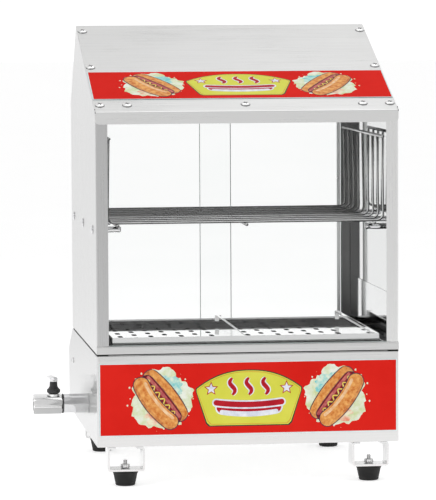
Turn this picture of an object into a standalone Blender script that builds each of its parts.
"""Countertop hot dog steamer with a bun rack, modelled as separate named pieces.

Metres, +Z up. The front faces -Y. The origin lies on the table, below the middle of the object's box.
Inside this file x is measured from the cabinet's middle plane, y from its front face and z from the
table. One empty, the parent of every piece, shifts all of them to the origin above.
"""
import math

import bmesh
import bpy
from mathutils import Matrix, Vector

# ---------------------------------------------------------------- driving dimensions, metres
WIDTH = 0.400                # cabinet and base, outside
CABINET_DEPTH = 0.388        # heated cabinet, front to back
BASE_DEPTH = 0.456           # base housing, with the control box behind the cabinet
BASE_BOTTOM = 0.0524         # underside of the base above the table
BASE_TOP = 0.1719            # top of the base walls
CONTROL_EDGE_Z = 0.1390      # rear, lower edge of the sloped control panel
CABINET_BOTTOM = 0.1745      # underside of the cabinet, above the black seam gasket
EAVE_Z = 0.491               # front and rear edges of the hood
RIDGE_Y = 0.287              # ridge of the hood
RIDGE_Z = 0.601              # highest point
HEADER_HEIGHT = 0.016        # front fold of the hood
RAIL_HEIGHT = 0.010          # bottom rail under the window
POST_WIDTH = 0.016           # front flanges of the side panels
JAMB_WIDTH = 0.015           # rear flanges of the side panels
WALL = 0.0012                # sheet steel
BEND = 0.0022                # outer radius of a folded edge
GAP = 0.0003                 # play between touching pieces

DECAL_THICKNESS = 0.0004
FRONT_DECAL_Z = (0.0666, 0.1622)
FRONT_DECAL_MARGIN = 0.0028
TOP_DECAL_RUN = (0.0417, 0.1367)   # along the front slope of the hood

GLASS = 0.004
DOOR_THICKNESS = 0.0045
DOOR_BOTTOM = 0.1778
DOOR_TOP = 0.4745
DOOR_OVERLAP = (-0.020, 0.026)     # x span where the two closed doors overlap
DOOR_OUTER_X = 0.1833
INNER_DOOR_Y = 0.36825             # middle of the right door, in the front groove
OUTER_DOOR_Y = 0.38025             # middle of the left door, in the rear groove
TRACK_Y = (0.3622, 0.3864)
TRACK_GROOVE = 0.0057
LOWER_TRACK_Z = (0.1748, 0.1835)
UPPER_TRACK_Z = (0.4660, 0.4820)
UPPER_GROOVE_TOP = 0.4785
PULL_Z = (0.1850, 0.4645)
PULL_WIDTH = 0.005
PULL_DEPTH = 0.003

TANK_HALF_WIDTH = 0.170
TANK_Y = (0.022, 0.360)
TANK_FLOOR_Z = 0.0560
TANK_RIM_Z = 0.1722
TANK_FLANGE = 0.0140
ELEMENT_RADIUS = 0.004
ELEMENT_Z = 0.084
ELEMENT_LEG_X = 0.030               # the two legs that leave through the tank's rear wall
TRAY_FRAME_HALF_WIDTH = 0.1775
TRAY_FRAME_Y = (0.0225, 0.3600)
TRAY_FRAME_Z = (0.1738, 0.1940)
TRAY_LEDGE = 0.0125
TRAY_SPLIT_X = 0.004
TRAY_WALL = 0.0010
TRAY_TOP_Z = 0.1900
SLOT_PITCH_X = 0.042
SLOT_PITCH_Y = 0.021
SLOT_ROWS = 15
SLOT_WIDTH = 0.0065
SLOT_LENGTH = 0.0225
REAR_WALL_Z = 0.1815                # low rear walls of the tray frame and the trays
REAR_WALL_HALF_WIDTH = 0.1715

PEG_Y = (0.048, 0.194, 0.340)
PEG_Z = 0.3350
PEG_RADIUS = 0.0040
PEG_HEAD_RADIUS = 0.0060
PEG_HEAD = 0.0025
PEG_INNER_X = 0.1630
SHELF_WIRE = 0.0015                # wire radius
SHELF_WIRES = 9
SHELF_FIRST_Y = 0.0200
SHELF_PITCH_Y = 0.0390
SHELF_HALF_WIDTH = 0.1830
SHELF_TOP_HALF_WIDTH = 0.1810
SHELF_BOTTOM_Z = 0.3447             # middle of the wires, sunk 0.5 mm into the runners
SHELF_TOP_Z = 0.4545
SHELF_CORNER = 0.010
SHELF_RUNNER_X = 0.1700
SHELF_RUNNER = 0.0022
SHELF_RUNNER_END = 0.0080           # runners beyond the first and last wires
SHELF_TOP_ROD = 0.0022

LINING_Z = (0.1760, 0.2440)
LINING_Y = (0.0200, 0.3550)
LINING = 0.0008

DRAIN_Y = 0.347
DRAIN_Z = 0.070
PIPE_RADIUS = 0.01345
PIPE_BORE = 0.0085
PIPE_END_X = -0.2172
LOCK_RING_X = (-0.2192, -0.2175)
VALVE_X = (-0.2600, -0.2195)
VALVE_RADIUS = 0.0148              # to the hexagon's corners
VALVE_TWIST = 13.0                 # degrees, hexagon off the upright
VALVE_BORE = 0.0055
VALVE_STEM_X = -0.2310
VALVE_BALL = 0.0080
BONNET_Z = (0.0838, 0.0925)
STEM_TOP_Z = 0.1012
LEVER_Z = (0.1015, 0.1042)
LEVER_WIDTH = 0.011
LEVER_REACH = 0.055

FOOT_X = 0.1622
FOOT_Y = (0.0170, 0.3610)
FOOT_HEIGHT = 0.0195
FOOT_TOP_RADIUS = 0.0170
FOOT_BOTTOM_RADIUS = 0.0130
BRACKET_WIDTH = 0.049
BRACKET_DEPTH = 0.033
BRACKET_PLATE = 0.0028
NUT_RADIUS = 0.0064
STUD_RADIUS = 0.0028
STUD_TOP_Z = 0.0335

KNOB_X = -0.105
LAMP_X = -0.030
SWITCH_X = 0.060
ROCKER_TILT = math.radians(9.0)
GLAND_X = 0.150
GLAND_Z = 0.085
GLAND_REACH = 0.014                # beyond the rear panel

SCREW_RADIUS = 0.0055
SCREW_HEIGHT = 0.0022
FRONT_SCREWS_X = (-0.192, -0.156, 0.0, 0.156, 0.192)
FRONT_SCREW_RUN = 0.0225
TOP_SCREWS_X = (-0.193, 0.193)
TOP_SCREW_RUNS = (0.1540, 0.2850)

HALF = WIDTH / 2
SLOPE = math.atan2(RIDGE_Z - EAVE_Z, RIDGE_Y)
CONTROL_SLOPE = math.atan2(BASE_TOP - CONTROL_EDGE_Z, BASE_DEPTH - CABINET_DEPTH)
CONTROL_RUN = math.hypot(BASE_TOP - CONTROL_EDGE_Z, BASE_DEPTH - CABINET_DEPTH)
OBJECT_X = (VALVE_X[0], HALF + GAP + PEG_HEAD)
OBJECT_Y = (-GAP - DECAL_THICKNESS, BASE_DEPTH + GLAND_REACH)

# ---------------------------------------------------------------- finishes: colour, roughness, metallic, alpha
FINISHES = {
    "brushed_steel": ((0.78, 0.78, 0.77), 0.32, 1.0, 1.0),
    "polished_steel": ((0.86, 0.86, 0.86), 0.12, 1.0, 1.0),
    "chrome": ((0.90, 0.90, 0.90), 0.08, 1.0, 1.0),
    "brass": ((0.80, 0.62, 0.30), 0.30, 1.0, 1.0),
    "red_film": ((0.72, 0.03, 0.02), 0.35, 0.0, 1.0),
    "black_rubber": ((0.03, 0.03, 0.03), 0.70, 0.0, 1.0),
    "black_plastic": ((0.02, 0.02, 0.02), 0.40, 0.0, 1.0),
    "amber_lens": ((0.90, 0.45, 0.05), 0.15, 0.0, 1.0),
    "clear_glass": ((0.90, 0.96, 0.95), 0.03, 0.0, 0.25),
}


# ---------------------------------------------------------------- scene and helpers
def clear_scene():
    for obj in list(bpy.data.objects):
        bpy.data.objects.remove(obj, do_unlink=True)
    for collection in list(bpy.data.collections):
        bpy.data.collections.remove(collection)


def make_collection(name):
    collection = bpy.data.collections.new(name)
    bpy.context.scene.collection.children.link(collection)
    return collection


clear_scene()
PARTS = make_collection("hot_dog_steamer")
CUTTERS = make_collection("cutters")
ROOT = bpy.data.objects.new("steamer_origin", None)
PARTS.objects.link(ROOT)
ROOT.location = (-sum(OBJECT_X) / 2, -sum(OBJECT_Y) / 2, 0.0)


def make_material(name, finish):
    colour, roughness, metallic, alpha = FINISHES[finish]
    material = bpy.data.materials.new(name)
    material.use_nodes = True
    shader = material.node_tree.nodes["Principled BSDF"]
    shader.inputs["Base Color"].default_value = (*colour, 1.0)
    shader.inputs["Roughness"].default_value = roughness
    shader.inputs["Metallic"].default_value = metallic
    shader.inputs["Alpha"].default_value = alpha
    material.diffuse_color = (*colour, alpha)
    return material


def add(name, mesh, finish, smooth_angle=30.0):
    """A piece of the steamer, made from a mesh, with its own material."""
    obj = bpy.data.objects.new(name, mesh)
    mesh.materials.append(make_material(name, finish))
    mesh.shade_smooth()
    mesh.set_sharp_from_angle(angle=math.radians(smooth_angle))
    PARTS.objects.link(obj)
    obj.parent = ROOT
    return obj


def mesh_from(bm, name):
    mesh = bpy.data.meshes.new(name)
    bm.to_mesh(mesh)
    bm.free()
    return mesh


def use_as_tool(obj):
    """Turn a piece into the tool of a boolean: hidden, and kept apart from the pieces."""
    PARTS.objects.unlink(obj)
    CUTTERS.objects.link(obj)
    obj.hide_render = True
    obj.display_type = "WIRE"
    return obj


def boolean(target, tool, operation):
    use_as_tool(tool)
    modifier = target.modifiers.new(tool.name, "BOOLEAN")
    modifier.operation = operation
    modifier.solver = "EXACT"
    modifier.object = tool
    return target


def cut(target, tool):
    return boolean(target, tool, "DIFFERENCE")


def join(target, tool):
    return boolean(target, tool, "UNION")


def box(name, low, high, finish="brushed_steel", bevel=0.0):
    """An upright box between two corners, with its origin at its middle."""
    low, high = Vector(low), Vector(high)
    bm = bmesh.new()
    bmesh.ops.create_cube(bm, size=1.0, matrix=Matrix.Diagonal((*(high - low), 1.0)))
    obj = add(name, mesh_from(bm, name), finish)
    obj.location = (low + high) / 2
    if bevel:
        modifier = obj.modifiers.new("rounded_edges", "BEVEL")
        modifier.width = bevel
        modifier.segments = 2
    return obj


AXIS_TURNS = {
    "X": Matrix.Rotation(math.radians(90.0), 4, "Y"),
    "Y": Matrix.Rotation(math.radians(-90.0), 4, "X"),
    "Z": Matrix.Identity(4),
}
# columns: where a plate's outline x, outline y and thickness go, for a plate that faces this axis
PLATE_TURNS = {
    "X": Matrix(((0, 0, 1, 0), (1, 0, 0, 0), (0, 1, 0, 0), (0, 0, 0, 1))),
    "Y": Matrix(((1, 0, 0, 0), (0, 0, -1, 0), (0, 1, 0, 0), (0, 0, 0, 1))),
    "Z": Matrix.Identity(4),
}


def cylinder(name, centre, axis, radius, length, finish="brushed_steel", segments=16, top_radius=None):
    bm = bmesh.new()
    bmesh.ops.create_cone(
        bm, cap_ends=True, segments=segments, radius1=radius,
        radius2=radius if top_radius is None else top_radius, depth=length, matrix=AXIS_TURNS[axis])
    obj = add(name, mesh_from(bm, name), finish)
    obj.location = centre
    return obj


def turned(name, profile, centre, axis="Z", finish="brushed_steel", steps=16):
    """A turned solid. The profile holds (radius, height) points, down the outer side first."""
    mesh = bpy.data.meshes.new(name)
    points = [(radius, 0.0, height) for radius, height in profile]
    closed = profile[0][0] > 0.0
    edges = [(i, i + 1) for i in range(len(points) - 1)]
    if closed:
        edges.append((len(points) - 1, 0))
    mesh.from_pydata(points, edges, [])
    obj = add(name, mesh, finish)
    screw = obj.modifiers.new("turn", "SCREW")
    screw.steps = steps
    screw.render_steps = steps
    screw.use_merge_vertices = True
    screw.merge_threshold = 0.00001
    screw.use_normal_calculate = False
    obj.location = centre
    obj.rotation_euler = AXIS_TURNS[axis].to_euler()
    return obj


def rounded_path(points, radius, steps=4):
    """The same path with its inner corners replaced by arcs."""
    points = [Vector(p) for p in points]
    path = [points[0]]
    for before, corner, after in zip(points, points[1:], points[2:]):
        to_before = (before - corner).normalized()
        to_after = (after - corner).normalized()
        half_angle = to_before.angle(to_after) / 2
        reach = radius / math.tan(half_angle)
        centre = corner + (to_before + to_after).normalized() * radius / math.sin(half_angle)
        start = corner + to_before * reach - centre
        end = corner + to_after * reach - centre
        turn = start.angle(end)
        for i in range(steps + 1):
            share = i / steps
            blend = (start * math.sin((1 - share) * turn) + end * math.sin(share * turn)) / math.sin(turn)
            path.append(centre + blend)
    path.append(points[-1])
    return path


def folded_sheet(name, profile, axis, span, finish="brushed_steel", thickness=WALL, bend=BEND):
    """Sheet metal folded along a profile and run along one axis.

    The profile is (x, y) for Z, (y, z) for X and (x, z) for Y. Seen with its first direction to the
    right and its second up, the sheet's outer face lies to the left of the profile's direction.
    """
    turn = PLATE_TURNS[axis]
    path = rounded_path([(a, b, 0.0) for a, b in profile], bend) if bend else [
        Vector((a, b, 0.0)) for a, b in profile]
    direction = -1.0 if axis == "Y" else 1.0
    bm = bmesh.new()
    verts = [bm.verts.new((p.x, p.y, direction * span[0])) for p in path]
    edges = [bm.edges.new(pair) for pair in zip(verts, verts[1:])]
    extruded = bmesh.ops.extrude_edge_only(bm, edges=edges)
    moved = [item for item in extruded["geom"] if isinstance(item, bmesh.types.BMVert)]
    bmesh.ops.translate(bm, verts=moved, vec=(0.0, 0.0, direction * (span[1] - span[0])))
    bm.normal_update()
    first = path[1] - path[0]
    outward = Vector((-first.y, first.x, 0.0))
    bm.faces.ensure_lookup_table()
    start = (path[0] + path[1]) / 2
    nearest = min(bm.faces, key=lambda face: (face.calc_center_median().xy - start.xy).length)
    if nearest.normal.dot(outward) < 0.0:
        bmesh.ops.reverse_faces(bm, faces=bm.faces[:])
    bmesh.ops.transform(bm, matrix=turn, verts=bm.verts[:])
    obj = add(name, mesh_from(bm, name), finish)
    shell = obj.modifiers.new("sheet", "SOLIDIFY")
    shell.thickness = thickness
    shell.offset = -1.0
    shell.use_even_offset = True
    return obj


def weld_to_mesh(curve_obj, name, finish):
    """Replace a curve object by a closed mesh object of the same shape."""
    depsgraph = bpy.context.evaluated_depsgraph_get()
    mesh = bpy.data.meshes.new_from_object(curve_obj.evaluated_get(depsgraph))
    bm = bmesh.new()
    bm.from_mesh(mesh)
    bmesh.ops.remove_doubles(bm, verts=bm.verts[:], dist=0.000001)
    bmesh.ops.recalc_face_normals(bm, faces=bm.faces[:])
    bm.to_mesh(mesh)
    bm.free()
    mesh.name = name
    matrix = curve_obj.matrix_world.copy()
    curve = curve_obj.data
    bpy.data.objects.remove(curve_obj, do_unlink=True)
    bpy.data.curves.remove(curve)
    obj = add(name, mesh, finish)
    obj.matrix_local = matrix
    return obj


def curve_object(name, points, dimensions, cyclic):
    curve = bpy.data.curves.new(name, "CURVE")
    curve.dimensions = dimensions
    spline = curve.splines.new("POLY")
    spline.points.add(len(points) - 1)
    for target, point in zip(spline.points, points):
        target.co = (*point, 1.0)
    spline.use_cyclic_u = cyclic
    obj = bpy.data.objects.new(name, curve)
    PARTS.objects.link(obj)
    return obj


def plate(name, outline, axis, span, finish="brushed_steel"):
    """A flat plate with the given outline, between two places on the axis that it faces.

    The outline is (x, y) for Z, (y, z) for X and (x, z) for Y.
    """
    obj = curve_object(name, [(a, b, 0.0) for a, b in outline], "2D", True)
    obj.data.fill_mode = "BOTH"
    obj.data.extrude = (span[1] - span[0]) / 2
    obj = weld_to_mesh(obj, name, finish)
    middle = sum(span) / 2
    if axis == "Y":
        middle = -middle
    obj.data.transform(PLATE_TURNS[axis] @ Matrix.Translation((0.0, 0.0, middle)))
    return obj


def tube(name, points, radius, finish="polished_steel"):
    obj = curve_object(name, [tuple(p) for p in points], "3D", False)
    obj.data.bevel_depth = radius
    obj.data.bevel_resolution = 2
    obj.data.use_fill_caps = True
    bpy.context.view_layer.update()
    return weld_to_mesh(obj, name, finish)


def tub(name, low, high, thickness, finish, flange=0.0):
    """An open-topped tub of sheet steel. A flange turns outwards from its rim, above the top."""
    low, high = Vector(low), Vector(high)
    centre = (low + high) / 2
    bm = bmesh.new()
    bmesh.ops.create_cube(bm, size=1.0, matrix=Matrix.Diagonal((*(high - low), 1.0)))
    top = max(bm.faces, key=lambda face: face.calc_center_median().z)
    bmesh.ops.delete(bm, geom=[top], context="FACES_ONLY")
    if flange:
        rim = [edge for edge in bm.edges if edge.is_boundary]
        grown = bmesh.ops.extrude_edge_only(bm, edges=rim)
        for item in grown["geom"]:
            if isinstance(item, bmesh.types.BMVert):
                item.co.x += math.copysign(flange, item.co.x)
                item.co.y += math.copysign(flange, item.co.y)
    bmesh.ops.recalc_face_normals(bm, faces=bm.faces[:])
    bm.faces.ensure_lookup_table()
    floor = min(bm.faces, key=lambda face: face.calc_center_median().z)
    if floor.normal.z > 0.0:
        bmesh.ops.reverse_faces(bm, faces=bm.faces[:])
    obj = add(name, mesh_from(bm, name), finish)
    obj.location = centre
    shell = obj.modifiers.new("sheet", "SOLIDIFY")
    shell.solidify_mode = "NON_MANIFOLD"
    shell.nonmanifold_thickness_mode = "CONSTRAINTS"
    shell.thickness = thickness
    shell.offset = -1.0
    return obj


def slot_outline(width, length, steps=3):
    """An oblong with round ends, along y."""
    radius = width / 2
    straight = length / 2 - radius
    outline = []
    for side in (1, -1):
        for i in range(steps + 1):
            angle = math.pi * i / steps
            outline.append((side * radius * math.cos(angle), side * (straight + radius * math.sin(angle))))
    return outline


def on_control_panel(obj, x, run=0.0, height=0.0):
    """Place a piece made around the panel's own axes: run goes down the slope, height out of it."""
    middle = Vector((0.0, (CABINET_DEPTH + BASE_DEPTH) / 2, (BASE_TOP + CONTROL_EDGE_Z) / 2))
    turn = Matrix.Rotation(-CONTROL_SLOPE, 4, "X")
    obj.matrix_local = Matrix.Translation(middle) @ turn @ Matrix.Translation((x, run, height)) @ (
        obj.rotation_euler.to_matrix().to_4x4())
    return obj


def on_hood(obj, x, run, height=0.0):
    """Place a piece made around its own axes on the hood's front slope."""
    eave = Vector((0.0, 0.0, EAVE_Z))
    turn = Matrix.Rotation(SLOPE, 4, "X")
    obj.matrix_local = Matrix.Translation(eave) @ turn @ Matrix.Translation((x, run, height))
    return obj


# ---------------------------------------------------------------- base housing
def make_base_wrap():
    """Front and side walls of the base in one folded sheet, with a top ring that carries the cabinet."""
    plan = [(HALF, BASE_DEPTH), (HALF, 0.0), (-HALF, 0.0), (-HALF, BASE_DEPTH)]
    wrap = folded_sheet("base_wrap", plan, "Z", (BASE_BOTTOM, BASE_TOP))
    inset = WALL / 2
    ring = box("base_top_ring", (-HALF + inset, inset, BASE_TOP - WALL), (HALF - inset, CABINET_DEPTH, BASE_TOP))
    clearance = 0.001
    opening = box(
        "tank_opening",
        (-TANK_HALF_WIDTH - clearance, TANK_Y[0] - clearance, BASE_TOP - 2 * WALL),
        (TANK_HALF_WIDTH + clearance, TANK_Y[1] + clearance, BASE_TOP + WALL))
    cut(ring, opening)
    join(wrap, ring)
    fall = math.tan(CONTROL_SLOPE)
    beyond = 0.010
    wedge = [(CABINET_DEPTH, BASE_TOP), (BASE_DEPTH + beyond, CONTROL_EDGE_Z - beyond * fall),
             (BASE_DEPTH + beyond, BASE_TOP + beyond), (CABINET_DEPTH, BASE_TOP + beyond)]
    cut(wrap, plate("slope_cut", wedge, "X", (-HALF - beyond, HALF + beyond)))
    cut(wrap, cylinder("pipe_hole", (-HALF, DRAIN_Y, DRAIN_Z), "X", PIPE_RADIUS + GAP, 0.010))


def make_base_bottom():
    side = HALF - WALL - 2 * GAP
    bottom = box("base_bottom", (-side, WALL + 2 * GAP, BASE_BOTTOM),
                 (side, BASE_DEPTH - WALL - GAP, BASE_BOTTOM + WALL))
    for i in range(-3, 4):
        x = 0.034 * i
        cut(bottom, box(f"floor_vent_{i + 3}", (x - 0.0025, 0.395, BASE_BOTTOM - WALL),
                        (x + 0.0025, 0.435, BASE_BOTTOM + 2 * WALL)))


def make_base_rear_panel():
    side = HALF - WALL - 2 * GAP
    panel = box("base_rear_panel", (-side, BASE_DEPTH - WALL, BASE_BOTTOM + WALL + GAP),
                (side, BASE_DEPTH, CONTROL_EDGE_Z - WALL - 2 * GAP))
    for i in range(5):
        z = 0.076 + 0.009 * i
        cut(panel, box(f"rear_vent_{i}", (-0.090, BASE_DEPTH - 2 * WALL, z), (-0.020, BASE_DEPTH + WALL, z + 0.003)))
    cut(panel, cylinder("gland_hole", (GLAND_X, BASE_DEPTH, GLAND_Z), "Y", 0.0083, 0.010))


def make_control_panel():
    side = HALF - WALL - 2 * GAP
    run = CONTROL_RUN / 2 - WALL
    panel = box("control_panel", (-side, -run, -WALL), (side, run, 0.0))
    on_control_panel(panel, 0.0, 0.0, -WALL / 2)
    spindle_hole = cylinder("spindle_hole", (0, 0, 0), "Z", 0.0034, 0.010)
    lamp_hole = cylinder("lamp_hole", (0, 0, 0), "Z", 0.0052, 0.010)
    switch_hole = box("switch_hole", (-0.0151, -0.0107, -0.005), (0.0151, 0.0107, 0.005))
    for hole, x in ((spindle_hole, KNOB_X), (lamp_hole, LAMP_X), (switch_hole, SWITCH_X)):
        cut(panel, on_control_panel(hole, x))


def make_front_decal():
    plate_x = HALF - FRONT_DECAL_MARGIN
    box("front_decal", (-plate_x, -GAP - DECAL_THICKNESS, FRONT_DECAL_Z[0]), (plate_x, -GAP, FRONT_DECAL_Z[1]),
        "red_film")


# ---------------------------------------------------------------- controls
def make_thermostat():
    body = box("thermostat_body", (-0.018, -0.022, -0.024), (0.018, 0.022, 0.0), "black_plastic", 0.0015)
    on_control_panel(body, KNOB_X, 0.0, -WALL - GAP - 0.012)
    bore = cylinder("spindle_bore", (0, 0, 0), "Z", 0.0034, 0.026)
    cut(body, on_control_panel(bore, KNOB_X))
    spindle = cylinder("thermostat_spindle", (0, 0, 0), "Z", 0.0030, 0.0220, "polished_steel", 16)
    on_control_panel(spindle, KNOB_X, 0.0, -0.0015)


def make_thermostat_knob():
    profile = [(0.0, 0.0170), (0.0125, 0.0170), (0.0145, 0.0155), (0.0150, 0.0070), (0.0200, 0.0050),
               (0.0200, 0.0015), (0.0034, 0.0015), (0.0034, 0.0105), (0.0, 0.0105)]
    knob = turned("thermostat_knob", profile, (0, 0, 0), "Z", "black_plastic", 20)
    on_control_panel(knob, KNOB_X)
    grip = box("knob_grip", (-0.0035, -0.0145, 0.0130), (0.0035, 0.0145, 0.0215), "black_plastic", 0.001)
    on_control_panel(grip, KNOB_X, 0.0, 0.01725)
    join(knob, grip)


def make_power_switch():
    bezel = box("power_switch_bezel", (-0.0170, -0.0125, GAP), (0.0170, 0.0125, GAP + 0.0020), "black_plastic", 0.0006)
    on_control_panel(bezel, SWITCH_X, 0.0, GAP + 0.0010)
    body = box("switch_body", (-0.0146, -0.0102, -0.020), (0.0146, 0.0102, 0.0010), "black_plastic")
    join(bezel, on_control_panel(body, SWITCH_X, 0.0, -0.0095))
    pocket = box("switch_pocket", (-0.0134, -0.0084, -0.011), (0.0134, 0.0084, 0.009))
    cut(bezel, on_control_panel(pocket, SWITCH_X, 0.0, -0.001))


def make_power_rocker():
    """The rocker turns about its own x axis, just below the panel, and rests tipped to off."""
    radius = 0.0070
    outline = [(radius * math.cos(math.pi * (1 + i / 8)), radius * math.sin(math.pi * (1 + i / 8))) for i in range(9)]
    outline += [(radius, 0.0062), (0.0, 0.0046), (-radius, 0.0062)]
    rocker = plate("power_rocker", outline, "X", (-0.0130, 0.0130), "black_plastic")
    rocker.rotation_euler.x = -ROCKER_TILT
    on_control_panel(rocker, SWITCH_X, 0.0, -0.0020)


def make_heating_lamp():
    profile = [(0.0, 0.0062), (0.0034, 0.0054), (0.0052, 0.0034), (0.0056, 0.0018), (0.0068, 0.0014),
               (0.0068, GAP), (0.0049, GAP), (0.0049, -0.0140), (0.0, -0.0140)]
    on_control_panel(turned("heating_lamp", profile, (0, 0, 0), "Z", "amber_lens", 12), LAMP_X)


def make_cable_gland():
    """A hollow strain relief through the rear panel."""
    profile = [(0.0052, GLAND_REACH), (0.0075, GLAND_REACH - 0.0010), (0.0090, 0.0085), (0.0100, 0.0080),
               (0.0100, 0.0050), (0.0115, 0.0046), (0.0115, GAP), (0.0080, GAP), (0.0080, -0.0100),
               (0.0040, -0.0100), (0.0040, GLAND_REACH)]
    turned("cable_gland", profile, (GLAND_X, BASE_DEPTH, GLAND_Z), "Y", "black_plastic", 14)


# ---------------------------------------------------------------- water tank and heating
def make_water_tank():
    tank = tub("water_tank", (-TANK_HALF_WIDTH, TANK_Y[0], TANK_FLOOR_Z),
               (TANK_HALF_WIDTH, TANK_Y[1], TANK_RIM_Z), WALL, "polished_steel", TANK_FLANGE)
    cut(tank, cylinder("drain_hole", (-TANK_HALF_WIDTH, DRAIN_Y, DRAIN_Z), "X", PIPE_BORE, 0.010))
    for side in (-1, 1):
        cut(tank, cylinder(f"leg_hole_{side + 1}", (side * ELEMENT_LEG_X, TANK_Y[1], ELEMENT_Z), "Y",
                           ELEMENT_RADIUS + GAP, 0.010, segments=12))


def make_heating_element():
    """A bent tubular heater that lies in the water, with both ends through the tank's rear wall."""
    half = [(ELEMENT_LEG_X, 0.392), (ELEMENT_LEG_X, 0.325), (0.130, 0.325), (0.130, 0.060), (0.050, 0.060),
            (0.050, 0.270)]
    route = half + [(-x, y) for x, y in reversed(half)]
    path = rounded_path([(x, y, ELEMENT_Z) for x, y in route], 0.018, 3)
    tube("heating_element", path, ELEMENT_RADIUS)


def make_element_flange():
    y = TANK_Y[1] + GAP
    flange = box("element_flange", (-0.048, y, 0.070), (0.048, y + 0.004, 0.098), "brass", 0.0006)
    for side in (-1, 1):
        cut(flange, cylinder(f"flange_hole_{side + 1}", (side * ELEMENT_LEG_X, y, ELEMENT_Z), "Y",
                             ELEMENT_RADIUS + GAP, 0.012, segments=12))


# ---------------------------------------------------------------- drain
def make_drain_pipe():
    start = TANK_HALF_WIDTH + GAP
    end = -PIPE_END_X
    nipple = 0.2220
    profile = [(PIPE_RADIUS, -start), (PIPE_RADIUS, -end), (0.0106, -end), (0.0106, -nipple),
               (PIPE_BORE, -nipple), (PIPE_BORE, -start)]
    turned("drain_pipe", profile, (0.0, DRAIN_Y, DRAIN_Z), "X", "brushed_steel")


def make_drain_lock_ring():
    low, high = LOCK_RING_X
    profile = [(0.0139, high), (0.0139, low), (0.0109, low), (0.0109, high)]
    turned("drain_lock_ring", profile, (0.0, DRAIN_Y, DRAIN_Z), "X", "black_plastic")


def make_valve_body():
    """A hexagon bar with a through bore, a ball chamber, and a boss for the bonnet."""
    middle = sum(VALVE_X) / 2
    body = cylinder("valve_body", (middle, DRAIN_Y, DRAIN_Z), "X", VALVE_RADIUS, VALVE_X[1] - VALVE_X[0], segments=6)
    body.rotation_euler.x = math.radians(VALVE_TWIST)
    bevel = body.modifiers.new("rounded_edges", "BEVEL")
    bevel.width = 0.0008
    bevel.segments = 1
    boss_low = DRAIN_Z + 0.010
    boss = cylinder("valve_boss", (VALVE_STEM_X, DRAIN_Y, (boss_low + BONNET_Z[0]) / 2), "Z", 0.0082,
                    BONNET_Z[0] - boss_low)
    join(body, boss)
    cut(body, cylinder("valve_bore", (middle, DRAIN_Y, DRAIN_Z), "X", VALVE_BORE, 0.060))
    cut(body, cylinder("pipe_socket", (VALVE_X[1], DRAIN_Y, DRAIN_Z), "X", 0.0109, 0.0056))
    cut(body, cylinder("outlet_socket", (VALVE_X[0], DRAIN_Y, DRAIN_Z), "X", 0.0098, 0.0240))
    chamber = bmesh.new()
    bmesh.ops.create_uvsphere(chamber, u_segments=12, v_segments=8, radius=VALVE_BALL + GAP)
    chamber = add("ball_chamber", mesh_from(chamber, "ball_chamber"), "brushed_steel")
    chamber.location = (VALVE_STEM_X, DRAIN_Y, DRAIN_Z)
    cut(body, chamber)
    cut(body, cylinder("stem_bore", (VALVE_STEM_X, DRAIN_Y, BONNET_Z[0] - 0.004), "Z", 0.0034, 0.024, segments=12))


def make_valve_bonnet():
    low, high = BONNET_Z[0] + GAP, BONNET_Z[1]
    profile = [(0.0086, high), (0.0094, high - 0.001), (0.0094, low), (0.0034, low), (0.0034, high)]
    turned("valve_bonnet", profile, (VALVE_STEM_X, DRAIN_Y, 0.0), "Z", "black_plastic")


def make_valve_ball():
    """The ball with its stem. Its bore runs along y at rest, so the valve is closed."""
    bm = bmesh.new()
    bmesh.ops.create_uvsphere(bm, u_segments=12, v_segments=8, radius=VALVE_BALL)
    ball = add("valve_ball", mesh_from(bm, "valve_ball"), "chrome")
    ball.location = (VALVE_STEM_X, DRAIN_Y, DRAIN_Z)
    bore = cylinder("ball_bore", ball.location, "Y", VALVE_BORE, 0.030, segments=12)
    stem_low = DRAIN_Z + VALVE_BALL - 0.0015
    stem = cylinder("valve_stem", (VALVE_STEM_X, DRAIN_Y, (stem_low + STEM_TOP_Z) / 2), "Z", 0.0030,
                    STEM_TOP_Z - stem_low, "chrome", 12)
    neck_low = BONNET_Z[1] + GAP
    neck = cylinder("stem_neck", (VALVE_STEM_X, DRAIN_Y, (neck_low + STEM_TOP_Z) / 2), "Z", 0.0050,
                    STEM_TOP_Z - neck_low, "chrome", 12)
    cut(ball, bore)
    join(ball, stem)
    join(ball, neck)


def make_valve_lever():
    """A flat steel lever that points to the rear when the valve is closed."""
    half = LEVER_WIDTH / 2
    steps = 8
    rear = [(half * math.cos(math.pi * i / steps), LEVER_REACH - half + half * math.sin(math.pi * i / steps))
            for i in range(steps + 1)]
    front = [(-half * math.cos(math.pi * i / steps), -half * math.sin(math.pi * i / steps) - 0.002)
             for i in range(steps + 1)]
    lever = plate("valve_lever", rear + front, "Z", (LEVER_Z[0], LEVER_Z[1]), "chrome")
    lever.location = (VALVE_STEM_X, DRAIN_Y, 0.0)
    nut = cylinder("lever_nut", (VALVE_STEM_X, DRAIN_Y, LEVER_Z[1] + 0.0015), "Z", 0.0044, 0.0040, "chrome", 6)
    join(lever, nut)


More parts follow.
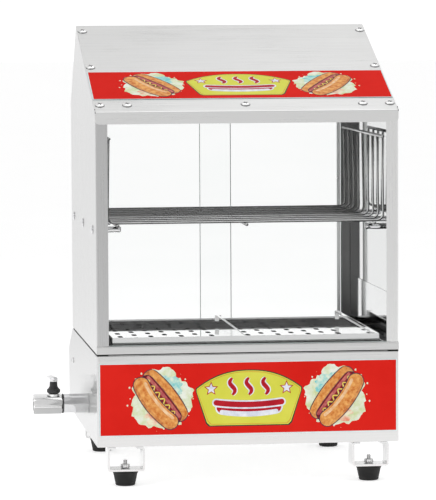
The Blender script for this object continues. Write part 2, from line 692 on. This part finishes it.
# ---------------------------------------------------------------- feet
def make_foot(name, x, y):
    """A folded bracket under the base, a rubber foot below it, and the stud and nut that hold the foot."""
    bottom = FOOT_HEIGHT + GAP
    top = BASE_BOTTOM - GAP
    half = BRACKET_WIDTH / 2
    lip = 0.011
    profile = [(x - half + lip, top), (x - half, top), (x - half, bottom), (x + half, bottom), (x + half, top),
               (x + half - lip, top)]
    bracket = folded_sheet(f"foot_bracket_{name}", profile[::-1], "Y", (y - BRACKET_DEPTH / 2, y + BRACKET_DEPTH / 2),
                           thickness=BRACKET_PLATE, bend=0.0034)
    cut(bracket, cylinder(f"stud_hole_{name}", (x, y, bottom), "Z", STUD_RADIUS + GAP, 0.012, segments=8))
    profile = [(0.0, FOOT_HEIGHT), (FOOT_TOP_RADIUS, FOOT_HEIGHT), (FOOT_TOP_RADIUS, FOOT_HEIGHT - 0.0015),
               (FOOT_BOTTOM_RADIUS + 0.0004, 0.0015), (FOOT_BOTTOM_RADIUS - 0.0010, 0.0), (0.0, 0.0)]
    foot = turned(f"rubber_foot_{name}", profile, (x, y, 0.0), "Z", "black_rubber")
    cut(foot, cylinder(f"stud_socket_{name}", (x, y, FOOT_HEIGHT), "Z", STUD_RADIUS + GAP, 0.020, segments=8))
    stud_low = FOOT_HEIGHT - 0.010 + GAP
    stud = cylinder(f"foot_stud_{name}", (x, y, (stud_low + STUD_TOP_Z) / 2), "Z", STUD_RADIUS, STUD_TOP_Z - stud_low,
                    "polished_steel", 8)
    nut_low = bottom + BRACKET_PLATE + GAP
    nut = cylinder(f"foot_nut_{name}", (x, y, nut_low + 0.0026), "Z", NUT_RADIUS, 0.0052, "polished_steel", 6)
    join(stud, nut)


def make_feet():
    for row, y in (("front", FOOT_Y[0]), ("rear", FOOT_Y[1])):
        for side, x in (("left", -FOOT_X), ("right", FOOT_X)):
            make_foot(f"{row}_{side}", x, y)


# ---------------------------------------------------------------- cabinet
def make_seam_gasket():
    """A black strip all round the seam between the base and the cabinet."""
    z = (BASE_TOP + GAP, CABINET_BOTTOM - GAP)
    inset = 0.0012
    gasket = box("seam_gasket", (-HALF + inset, inset, z[0]), (HALF - inset, CABINET_DEPTH - inset, z[1]),
                 "black_rubber")
    inner_x = TANK_HALF_WIDTH + TANK_FLANGE + GAP
    margin = TANK_FLANGE + GAP
    cut(gasket, box("gasket_opening", (-inner_x, TANK_Y[0] - margin, z[0] - 0.002),
                    (inner_x, TANK_Y[1] + margin, z[1] + 0.002)))


def make_side_panel(side):
    """One side of the cabinet: web, front post and rear jamb folded from one sheet, with a gable on top."""
    name = "left_side_panel" if side < 0 else "right_side_panel"
    front = WALL + GAP
    outer = side * HALF
    rail_top = CABINET_BOTTOM + RAIL_HEIGHT + GAP
    plan = [(side * (HALF - POST_WIDTH), front), (outer, front), (outer, CABINET_DEPTH),
            (side * (HALF - JAMB_WIDTH), CABINET_DEPTH)]
    if side < 0:
        plan.reverse()
    plan = plan[::-1]
    panel = folded_sheet(name, plan, "Z", (CABINET_BOTTOM, RIDGE_Z))
    drop = WALL + 2 * GAP
    beyond = 0.010
    rear_fall = (RIDGE_Z - EAVE_Z) / (CABINET_DEPTH - RIDGE_Y)
    low_front = EAVE_Z - drop / math.cos(SLOPE) - beyond * math.tan(SLOPE)
    low_rear = EAVE_Z - drop * 1.5 - beyond * rear_fall
    roof = [(-beyond, low_front), (RIDGE_Y, RIDGE_Z - 1.6 * drop), (CABINET_DEPTH + beyond, low_rear),
            (CABINET_DEPTH + beyond, RIDGE_Z + beyond), (-beyond, RIDGE_Z + beyond)]
    cut(panel, plate(f"roof_cut_{name}", roof, "X", (outer - 0.020, outer + 0.020)))
    cut(panel, box(f"rail_cut_{name}", (outer - 0.020, -0.005, CABINET_BOTTOM - 0.005),
                   (outer + 0.020, front + WALL + 0.0002, rail_top)))
    cut(panel, box(f"hood_cut_{name}", (outer - 0.020, CABINET_DEPTH - WALL - GAP, UPPER_TRACK_Z[1]),
                   (outer + 0.020, CABINET_DEPTH + 0.005, RIDGE_Z)))
    for i, y in enumerate(PEG_Y):
        cut(panel, cylinder(f"peg_hole_{name}_{i}", (outer, y, PEG_Z), "X", PEG_RADIUS + GAP, 0.010, segments=12))


def make_bottom_rail():
    """A folded rail across the whole front, below the window."""
    top = CABINET_BOTTOM + RAIL_HEIGHT
    lip = 0.0100
    profile = [(lip, top), (0.0, top), (0.0, CABINET_BOTTOM)]
    rail = folded_sheet("bottom_rail", profile[::-1], "X", (-HALF, HALF), bend=0.0016)
    for side in (-1, 1):
        x = sorted((side * (HALF - WALL - 2 * GAP), side * (HALF + 0.002)))
        cut(rail, box(f"rail_notch_{side + 1}", (x[0], WALL + GAP / 2, top - 0.005), (x[1], 0.020, top + 0.005)))


def make_front_glass():
    y = 2 * WALL + 3 * GAP
    top = EAVE_Z - 0.004
    box("front_glass", (-HALF + POST_WIDTH - 0.006, y, CABINET_BOTTOM + RAIL_HEIGHT + GAP),
        (HALF - POST_WIDTH + 0.006, y + GLASS, top), "clear_glass")


def make_hood_top():
    """Header, front slope and its screws. The header folds down in front of the side panels."""
    profile = [(0.0, EAVE_Z - HEADER_HEIGHT), (0.0, EAVE_Z), (RIDGE_Y, RIDGE_Z)]
    hood = folded_sheet("hood_top", profile, "X", (-HALF, HALF))
    bottom = EAVE_Z - HEADER_HEIGHT
    radius = 0.005
    steps = 5
    for side in (-1, 1):
        corner = [(side * HALF, bottom - 0.002), (side * (HALF + 0.002), bottom - 0.002),
                  (side * (HALF + 0.002), bottom + radius)]
        for i in range(steps + 1):
            angle = math.pi / 2 * i / steps
            corner.append((side * (HALF - radius + radius * math.cos(angle)),
                           bottom + radius - radius * math.sin(angle)))
        corner.append((side * (HALF - radius), bottom - 0.002))
        cut(hood, plate(f"header_corner_{side + 1}", corner[1:], "Y", (-0.002, 0.004)))
    places = [(x, FRONT_SCREW_RUN) for x in FRONT_SCREWS_X]
    places += [(x, run) for run in TOP_SCREW_RUNS for x in TOP_SCREWS_X]
    for i, (x, run) in enumerate(places):
        overlap = 0.0004
        head = cylinder(f"hood_screw_{i}", (0, 0, 0), "Z", SCREW_RADIUS, SCREW_HEIGHT + overlap, segments=10,
                        top_radius=SCREW_RADIUS * 0.6)
        join(hood, on_hood(head, x, run, (SCREW_HEIGHT - overlap) / 2))


def make_hood_back():
    """The steep rear slope of the hood, folded down behind the upper door track."""
    rear = CABINET_DEPTH
    fall = Vector((rear - RIDGE_Y, EAVE_Z - RIDGE_Z)).normalized()
    clear = 1.3 * WALL
    start = (RIDGE_Y + fall.x * clear, RIDGE_Z + fall.y * clear)
    profile = [start, (rear, EAVE_Z), (rear, UPPER_TRACK_Z[1] + GAP)]
    folded_sheet("hood_back", profile, "X", (-HALF, HALF))


def make_top_decal():
    run = (TOP_DECAL_RUN[0] + TOP_DECAL_RUN[1]) / 2
    length = TOP_DECAL_RUN[1] - TOP_DECAL_RUN[0]
    decal = box("top_decal", (-HALF + 0.0008, -length / 2, 0.0), (HALF - 0.0008, length / 2, DECAL_THICKNESS),
                "red_film")
    on_hood(decal, 0.0, run, GAP + DECAL_THICKNESS / 2)


def make_side_linings():
    """Low guard plates inside both side walls."""
    for name, side in (("left_lining", -1), ("right_lining", 1)):
        x = sorted((side * (HALF - WALL - GAP), side * (HALF - WALL - GAP - LINING)))
        box(name, (x[0], LINING_Y[0], LINING_Z[0]), (x[1], LINING_Y[1], LINING_Z[1]), "polished_steel")


# ---------------------------------------------------------------- sliding doors
def make_track(name, z, groove_bottom, groove_top):
    side = HALF - WALL - GAP
    track = box(name, (-side, TRACK_Y[0], z[0]), (side, TRACK_Y[1], z[1]), "polished_steel")
    for label, y in (("front", INNER_DOOR_Y), ("rear", OUTER_DOOR_Y)):
        cut(track, box(f"{name}_{label}_groove", (-WIDTH, y - TRACK_GROOVE / 2, groove_bottom),
                       (WIDTH, y + TRACK_GROOVE / 2, groove_top)))


def make_door_tracks():
    make_track("lower_door_track", LOWER_TRACK_Z, DOOR_BOTTOM - GAP, LOWER_TRACK_Z[1] + 0.005)
    make_track("upper_door_track", UPPER_TRACK_Z, UPPER_TRACK_Z[0] - 0.005, UPPER_GROOVE_TOP)


def make_door(name, x, y, pull_x):
    """A glass door with a folded pull strip near its outer edge."""
    box(name, (x[0], y - DOOR_THICKNESS / 2, DOOR_BOTTOM), (x[1], y + DOOR_THICKNESS / 2, DOOR_TOP), "clear_glass")
    low = y + DOOR_THICKNESS / 2 + GAP
    box(f"{name}_pull", (pull_x[0], low, PULL_Z[0]), (pull_x[1], low + PULL_DEPTH, PULL_Z[1]), "polished_steel", 0.0006)


def make_doors():
    edge = 0.0016
    make_door("left_door", (-DOOR_OUTER_X, DOOR_OVERLAP[1]), OUTER_DOOR_Y,
              (-DOOR_OUTER_X + edge, -DOOR_OUTER_X + edge + PULL_WIDTH))
    make_door("right_door", (DOOR_OVERLAP[0], DOOR_OUTER_X), INNER_DOOR_Y,
              (DOOR_OUTER_X - edge - PULL_WIDTH, DOOR_OUTER_X - edge))


# ---------------------------------------------------------------- steam trays
def make_tray_frame():
    """A raised rectangular frame on the tank's flange, with a ledge and a middle bar under the trays."""
    x, y, z = TRAY_FRAME_HALF_WIDTH, TRAY_FRAME_Y, TRAY_FRAME_Z
    frame = box("tray_frame", (-x, y[0], z[0]), (x, y[1], z[1]), "polished_steel")
    cut(frame, box("frame_upper_opening", (-x + WALL, y[0] + WALL, z[0] + WALL), (x - WALL, y[1] - WALL, z[1] + 0.01)))
    cut(frame, box("frame_rear_notch", (-REAR_WALL_HALF_WIDTH, y[1] - 2 * WALL, REAR_WALL_Z),
                   (REAR_WALL_HALF_WIDTH, y[1] + WALL, z[1] + WALL)))
    bar = 0.007
    edge = WALL + TRAY_LEDGE
    for label, low, high in (("left", -x + edge, TRAY_SPLIT_X - bar), ("right", TRAY_SPLIT_X + bar, x - edge)):
        cut(frame, box(f"frame_{label}_opening", (low, y[0] + edge, z[0] - 0.01), (high, y[1] - edge, z[1] + 0.01)))


def make_tray(name, low_x, high_x):
    """A lift-out tray with a low rear wall and staggered steam slots in its floor."""
    y = (TRAY_FRAME_Y[0] + WALL + 0.0008, TRAY_FRAME_Y[1] - WALL - 0.0008)
    floor = TRAY_FRAME_Z[0] + WALL + GAP
    tray = tub(name, (low_x, y[0], floor), (high_x, y[1], TRAY_TOP_Z), TRAY_WALL, "polished_steel")
    side = 4 * TRAY_WALL
    cut(tray, box(f"{name}_rear_notch", (low_x + side, y[1] - 2 * TRAY_WALL, REAR_WALL_Z),
                  (high_x - side, y[1] + TRAY_WALL, TRAY_TOP_Z + TRAY_WALL)))
    middle_x = (low_x + high_x) / 2
    middle_y = sum(y) / 2
    slots = bmesh.new()
    for row in range(-(SLOT_ROWS // 2), SLOT_ROWS // 2 + 1):
        columns = (-1.5, -0.5, 0.5, 1.5) if row % 2 else (-1.0, 0.0, 1.0)
        for column in columns:
            loop = [slots.verts.new((column * SLOT_PITCH_X + dx, row * SLOT_PITCH_Y + dy, 0.0))
                    for dx, dy in slot_outline(SLOT_WIDTH, SLOT_LENGTH)]
            face = slots.faces.new(loop)
            grown = bmesh.ops.extrude_face_region(slots, geom=[face])
            top = [item for item in grown["geom"] if isinstance(item, bmesh.types.BMVert)]
            bmesh.ops.translate(slots, verts=top, vec=(0.0, 0.0, 0.006))
    bmesh.ops.recalc_face_normals(slots, faces=slots.faces[:])
    cutter = add(f"{name}_slots", mesh_from(slots, f"{name}_slots"), "polished_steel")
    cutter.location = (middle_x, middle_y, floor - 0.003)
    cut(tray, cutter)


def make_trays():
    side = TRAY_FRAME_HALF_WIDTH - WALL - 0.0008
    half_split = 0.0006
    make_tray("left_tray", -side, TRAY_SPLIT_X - half_split)
    make_tray("right_tray", TRAY_SPLIT_X + half_split, side)


# ---------------------------------------------------------------- bun shelf
def make_shelf_pegs():
    """Pegs through the side walls, each with a button head outside."""
    head_x = HALF + GAP
    for label, side in (("left", -1), ("right", 1)):
        for i, y in enumerate(PEG_Y):
            profile = [(0.0, PEG_INNER_X), (PEG_RADIUS, PEG_INNER_X), (PEG_RADIUS, head_x), (PEG_HEAD_RADIUS, head_x),
                       (PEG_HEAD_RADIUS, head_x + PEG_HEAD * 0.6), (PEG_HEAD_RADIUS * 0.6, head_x + PEG_HEAD),
                       (0.0, head_x + PEG_HEAD)]
            profile = profile[::-1] if side > 0 else [(radius, -x) for radius, x in profile]
            turned(f"shelf_peg_{label}_{i + 1}", profile, (0.0, y, PEG_Z), "X", "polished_steel", 12)


def make_bun_shelf():
    """A cradle of bent wires on runners. It rests on the pegs and lifts off them."""
    wires_y = [SHELF_FIRST_Y + SHELF_PITCH_Y * i for i in range(SHELF_WIRES)]
    runner_y = (SHELF_FIRST_Y - SHELF_RUNNER_END, wires_y[-1] + SHELF_RUNNER_END)
    runner_z = PEG_Z + PEG_RADIUS + GAP + SHELF_RUNNER
    shelf = tube("bun_shelf", [(-SHELF_RUNNER_X, runner_y[0], runner_z), (-SHELF_RUNNER_X, runner_y[1], runner_z)],
                 SHELF_RUNNER)
    section = [(-SHELF_TOP_HALF_WIDTH, SHELF_TOP_Z), (-SHELF_HALF_WIDTH, SHELF_BOTTOM_Z),
               (SHELF_HALF_WIDTH, SHELF_BOTTOM_Z), (SHELF_TOP_HALF_WIDTH, SHELF_TOP_Z)]
    for i, y in enumerate(wires_y):
        path = rounded_path([(x, y, z) for x, z in section], SHELF_CORNER, 3)
        join(shelf, tube(f"shelf_wire_{i}", path, SHELF_WIRE))
    join(shelf, tube("shelf_runner_right", [(SHELF_RUNNER_X, runner_y[0], runner_z),
                                            (SHELF_RUNNER_X, runner_y[1], runner_z)], SHELF_RUNNER))
    join(shelf, tube("shelf_runner_middle", [(0.0, runner_y[0], runner_z + 0.0002),
                                             (0.0, runner_y[1], runner_z + 0.0002)], SHELF_RUNNER))
    for side in (-1, 1):
        x = side * SHELF_TOP_HALF_WIDTH
        join(shelf, tube(f"shelf_top_rod_{side + 1}", [(x, runner_y[0], SHELF_TOP_Z + 0.0010),
                                                       (x, runner_y[1], SHELF_TOP_Z + 0.0010)], SHELF_TOP_ROD))


# ---------------------------------------------------------------- assembly
def build():
    make_base_wrap()
    make_base_bottom()
    make_base_rear_panel()
    make_control_panel()
    make_front_decal()
    make_thermostat()
    make_thermostat_knob()
    make_power_switch()
    make_power_rocker()
    make_heating_lamp()
    make_cable_gland()
    make_water_tank()
    make_heating_element()
    make_element_flange()
    make_drain_pipe()
    make_drain_lock_ring()
    make_valve_body()
    make_valve_bonnet()
    make_valve_ball()
    make_valve_lever()
    make_feet()
    make_seam_gasket()
    make_side_panel(-1)
    make_side_panel(1)
    make_bottom_rail()
    make_front_glass()
    make_hood_top()
    make_hood_back()
    make_top_decal()
    make_side_linings()
    make_door_tracks()
    make_doors()
    make_tray_frame()
    make_trays()
    make_shelf_pegs()
    make_bun_shelf()


build()
